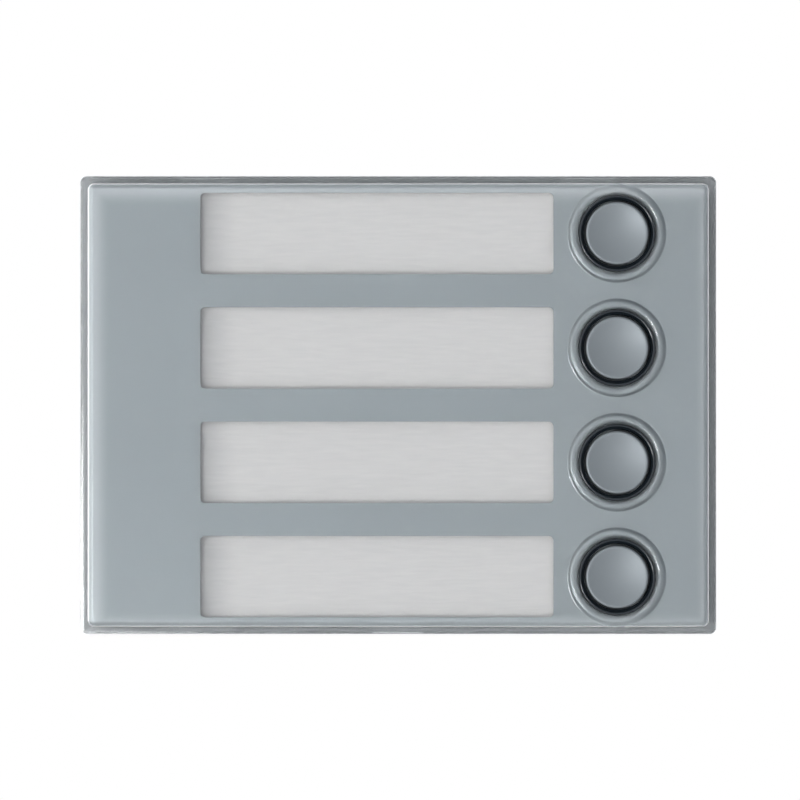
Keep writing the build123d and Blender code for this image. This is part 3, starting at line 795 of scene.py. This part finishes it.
# %% Rubber and foam
boot_silicone = worked_finish("boot_silicone", (0.50, 0.53, 0.55), (0.44, 0.47, 0.49), 0.55, wear=0.1,
                              Subsurface_Weight=0.4, Subsurface_Scale=0.001)
paint(boot_silicone, *boots)
gasket_foam = worked_finish("gasket_foam", (0.035, 0.035, 0.036), (0.06, 0.06, 0.062), 0.9, wear=0.0,
                            fineness=3000.0, pits=0.9, relief=1.0, depth=0.06 * MM)
paint(gasket_foam, nodes["rear_gasket"])

# %% Metals
tin_plate = worked_finish("tin_plate", (0.70, 0.70, 0.69), (0.6, 0.6, 0.6), 0.3, Metallic=1.0)
paint(tin_plate, nodes["switch_plates"], nodes["chip_legs"])
contact_gold = worked_finish("contact_gold", (0.83, 0.62, 0.26), (0.75, 0.55, 0.24), 0.22, Metallic=1.0)
paint(contact_gold, nodes["link_contacts_1"], nodes["link_contacts_2"])
insert_brass = worked_finish("insert_brass", (0.70, 0.53, 0.24), (0.58, 0.43, 0.2), 0.3, Metallic=1.0,
                             bare=(0.85, 0.7, 0.4), wear=0.5)
paint(insert_brass, nodes["frame_inserts"])
screw_zinc = worked_finish("screw_zinc", (0.60, 0.61, 0.62), (0.5, 0.52, 0.55), 0.28, Metallic=1.0,
                           bare=(0.8, 0.8, 0.8), wear=0.5, edge=0.1 * MM, patches=700.0)
paint(screw_zinc, nodes["case_screws"], nodes["board_screws"])

# %% [markdown]
# ## The circuit board
# Solder mask is a green film over copper, so the tracks show as slightly raised, paler lanes. A
# brick pattern gives straight lanes with turns in them, and the same pattern lifts the bump.

# %% Board laminate
board_laminate, tree, shader = finish("board_laminate", (0.02, 0.16, 0.07), 0.3, Coat_Weight=0.3)
place = add_node(tree, "ShaderNodeTexCoord")
turn = add_node(tree, "ShaderNodeMapping", None, Rotation=(math.pi / 2, 0, 0))
lanes = add_node(tree, "ShaderNodeTexBrick", None, Scale=260.0, Mortar_Size=0.018, Row_Height=0.3)
lanes.inputs["Color1"].default_value = (0.018, 0.13, 0.06, 1)
lanes.inputs["Color2"].default_value = (0.02, 0.15, 0.065, 1)
lanes.inputs["Mortar"].default_value = (0.05, 0.27, 0.12, 1)
join(tree, place, "Object", turn, "Vector")
join(tree, turn, "Vector", lanes, "Vector")
join(tree, lanes, "Color", shader, "Base Color")
bump(tree, shader, lanes, "Fac", 0.3, 0.03 * MM)
paint(board_laminate, nodes["switch_board"])
print("finishes so far:", len(bpy.data.materials))

# %% [markdown]
# ## Camera
# The panel is looked at squarely, from far off with a long lens, so that its sides don't show. The
# distance follows from the lens and from how much room is left round the panel.

# %% Camera
camera_data = bpy.data.cameras.new("camera")
camera_data.lens = 400
camera_data.sensor_width = 36
view_width = 125.7 * MM
camera_distance = view_width * camera_data.lens / camera_data.sensor_width
camera = bpy.data.objects.new("camera", camera_data)
camera.location = (0.28 * MM, cover_low.y - camera_distance, 0.8 * MM)
camera.rotation_euler = (math.pi / 2, 0, 0)
bpy.context.scene.collection.objects.link(camera)
bpy.context.scene.camera = camera
bpy.context.scene.view_settings.view_transform = "Standard"
print("camera distance (m):", round(camera_distance, 3))

# %% [markdown]
# ## Studio
# A glossy panel shows its surroundings, so the light is a white tent that is brighter low on the
# left and darker high on the right, with one large soft lamp low on the left. The floor is a plain
# pale sheet well below the panel.

# %% Light tent
tent_bright = (1.62, 1.63, 1.64, 1)
tent_dark = (0.42, 0.44, 0.47, 1)
world = bpy.data.worlds.new("studio")
bpy.context.scene.world = world
world.use_nodes = True
sky = world.node_tree
sky.nodes.clear()
place = add_node(sky, "ShaderNodeTexCoord")
toward = add_node(sky, "ShaderNodeVectorMath", {"operation": "DOT_PRODUCT"})
toward.inputs[1].default_value = Vector((-0.75, 0.1, -0.65)).normalized()
spread = add_node(sky, "ShaderNodeMapRange", {"interpolation_type": "SMOOTHSTEP"},
                  From_Min=-0.9, From_Max=0.9)
tone = add_node(sky, "ShaderNodeMix", {"data_type": "RGBA"})
tone.inputs["A"].default_value = tent_dark
tone.inputs["B"].default_value = tent_bright
tent = add_node(sky, "ShaderNodeBackground")
white = add_node(sky, "ShaderNodeBackground", None, Color=(1, 1, 1, 1))
rays = add_node(sky, "ShaderNodeLightPath")
choose = add_node(sky, "ShaderNodeMixShader")
shown = add_node(sky, "ShaderNodeOutputWorld")
join(sky, place, "Generated", toward, 0)
join(sky, toward, "Value", spread, "Value")
join(sky, spread, "Result", tone, "Factor")
join(sky, tone, "Result", tent, "Color")
join(sky, rays, "Is Camera Ray", choose, "Fac")
join(sky, tent, "Background", choose, 1)
join(sky, white, "Background", choose, 2)
join(sky, choose, "Shader", shown, "Surface")

# %% Soft lamp
lamp_data = bpy.data.lights.new("low_left_softbox", "AREA")
lamp_data.shape = "DISK"
lamp_width = 0.55
lamp_power = 17.0
lamp_data.size = lamp_width
lamp_data.energy = lamp_power
lamp = bpy.data.objects.new("low_left_softbox", lamp_data)
lamp.location = (-0.36, -0.84, -0.38)
lamp.rotation_euler = (-lamp.location).to_track_quat("-Z", "Y").to_euler()
bpy.context.scene.collection.objects.link(lamp)

# %% Floor
floor_drop = 0.25
bpy.ops.object.select_all(action="DESELECT")
bpy.ops.mesh.primitive_plane_add(size=3.0, location=(0, 0, cover_low.z - floor_drop))
floor = settle(bpy.context.object, "floor")
floor_paper, tree, shader = finish("floor_paper", (0.86, 0.86, 0.86), 0.8)
base = place_group(tree, mottle, Colour=(0.86, 0.86, 0.86, 1), Drift=(0.82, 0.82, 0.82, 1), Patch_Size=6.0,
                   Strength=0.5)
join(tree, base, "Colour", shader, "Base Color")
paint(floor_paper, floor)
